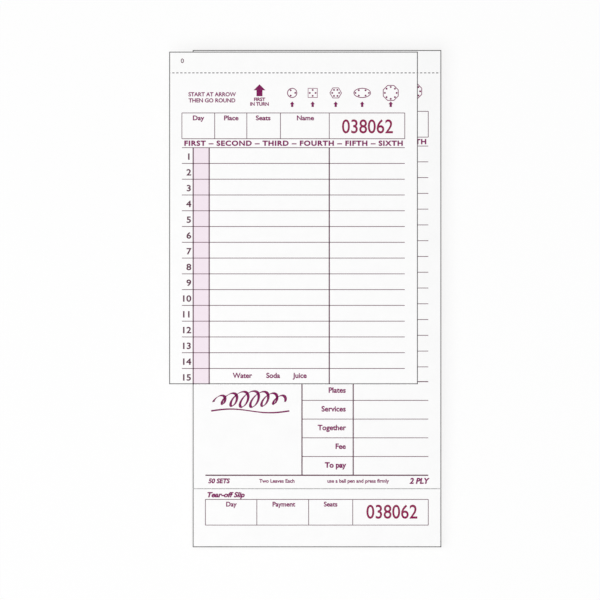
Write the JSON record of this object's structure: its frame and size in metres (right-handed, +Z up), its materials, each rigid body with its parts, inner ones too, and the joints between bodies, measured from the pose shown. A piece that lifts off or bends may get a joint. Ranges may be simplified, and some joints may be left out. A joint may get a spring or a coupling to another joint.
{
  "type": "duplicate check book",
  "caption": "Stapled book of duplicate order checks: a short order copy over a longer check, each turning up at a perforated stub, with a fold-up receipt at the foot, on a board.",
  "frame": {"origin": "centre of the underside of the backing board, where the book rests", "axes": "+Y towards the head, +X to the right of the printed side, +Z up out of the printed side"},
  "size_m": [0.1182, 0.216, 0.0118],
  "materials": {
    "order_paper": "smooth uncoated",
    "check_card": "smooth uncoated",
    "leaf_stack": "guillotined edges",
    "board": "grey-brown chipboard",
    "staple_wire": "galvanised"
  },
  "bodies": {
    "book": {"backing_board": "board", "staples": "staple_wire", "duplicate_set_02": "leaf_stack", "duplicate_set_03": "leaf_stack", "duplicate_set_04": "leaf_stack", "duplicate_set_05": "leaf_stack", "duplicate_set_06": "leaf_stack", "duplicate_set_07": "leaf_stack", "duplicate_set_08": "leaf_stack", "duplicate_set_09": "leaf_stack", "duplicate_set_10": "leaf_stack", "duplicate_set_11": "leaf_stack", "duplicate_set_12": "leaf_stack", "duplicate_set_13": "leaf_stack", "duplicate_set_14": "leaf_stack", "duplicate_set_15": "leaf_stack", "duplicate_set_16": "leaf_stack", "duplicate_set_17": "leaf_stack", "duplicate_set_18": "leaf_stack", "duplicate_set_19": "leaf_stack", "duplicate_set_20": "leaf_stack", "duplicate_set_21": "leaf_stack", "duplicate_set_22": "leaf_stack", "duplicate_set_23": "leaf_stack", "duplicate_set_24": "leaf_stack", "duplicate_set_25": "leaf_stack", "duplicate_set_26": "leaf_stack", "duplicate_set_27": "leaf_stack", "duplicate_set_28": "leaf_stack", "duplicate_set_29": "leaf_stack", "duplicate_set_30": "leaf_stack", "duplicate_set_31": "leaf_stack", "duplicate_set_32": "leaf_stack", "duplicate_set_33": "leaf_stack", "duplicate_set_34": "leaf_stack", "duplicate_set_35": "leaf_stack", "duplicate_set_36": "leaf_stack", "duplicate_set_37": "leaf_stack", "duplicate_set_38": "leaf_stack", "duplicate_set_39": "leaf_stack", "duplicate_set_40": "leaf_stack", "duplicate_set_41": "leaf_stack", "duplicate_set_42": "leaf_stack", "duplicate_set_43": "leaf_stack", "duplicate_set_44": "leaf_stack", "duplicate_set_45": "leaf_stack", "duplicate_set_46": "leaf_stack", "duplicate_set_47": "leaf_stack", "duplicate_set_48": "leaf_stack", "duplicate_set_49": "leaf_stack", "duplicate_set_50": "leaf_stack", "check_stub": "check_card", "order_copy_stub": "order_paper"},
    "check": {"check_form": "check_card"},
    "receipt": {"guest_receipt": "check_card"},
    "order_copy": {"order_copy_form": "order_paper"}
  },
  "joints": [
    {"name": "check_turn", "type": "hinge", "parent": "book", "child": "check", "pos_m": [0, 0.09805, 0.0118], "axis": [-1, 0, 0], "range_deg": [0, 85]},
    {"name": "order_copy_turn", "type": "hinge", "parent": "check", "child": "order_copy", "pos_m": [0, 0.09805, 0.0118], "axis": [-1, 0, 0], "range_deg": [0, 90]},
    {"name": "receipt_fold", "type": "hinge", "parent": "check", "child": "receipt", "pos_m": [0, -0.08255, 0.00919], "axis": [-1, 0, 0], "range_deg": [0, 175]}
  ]
}
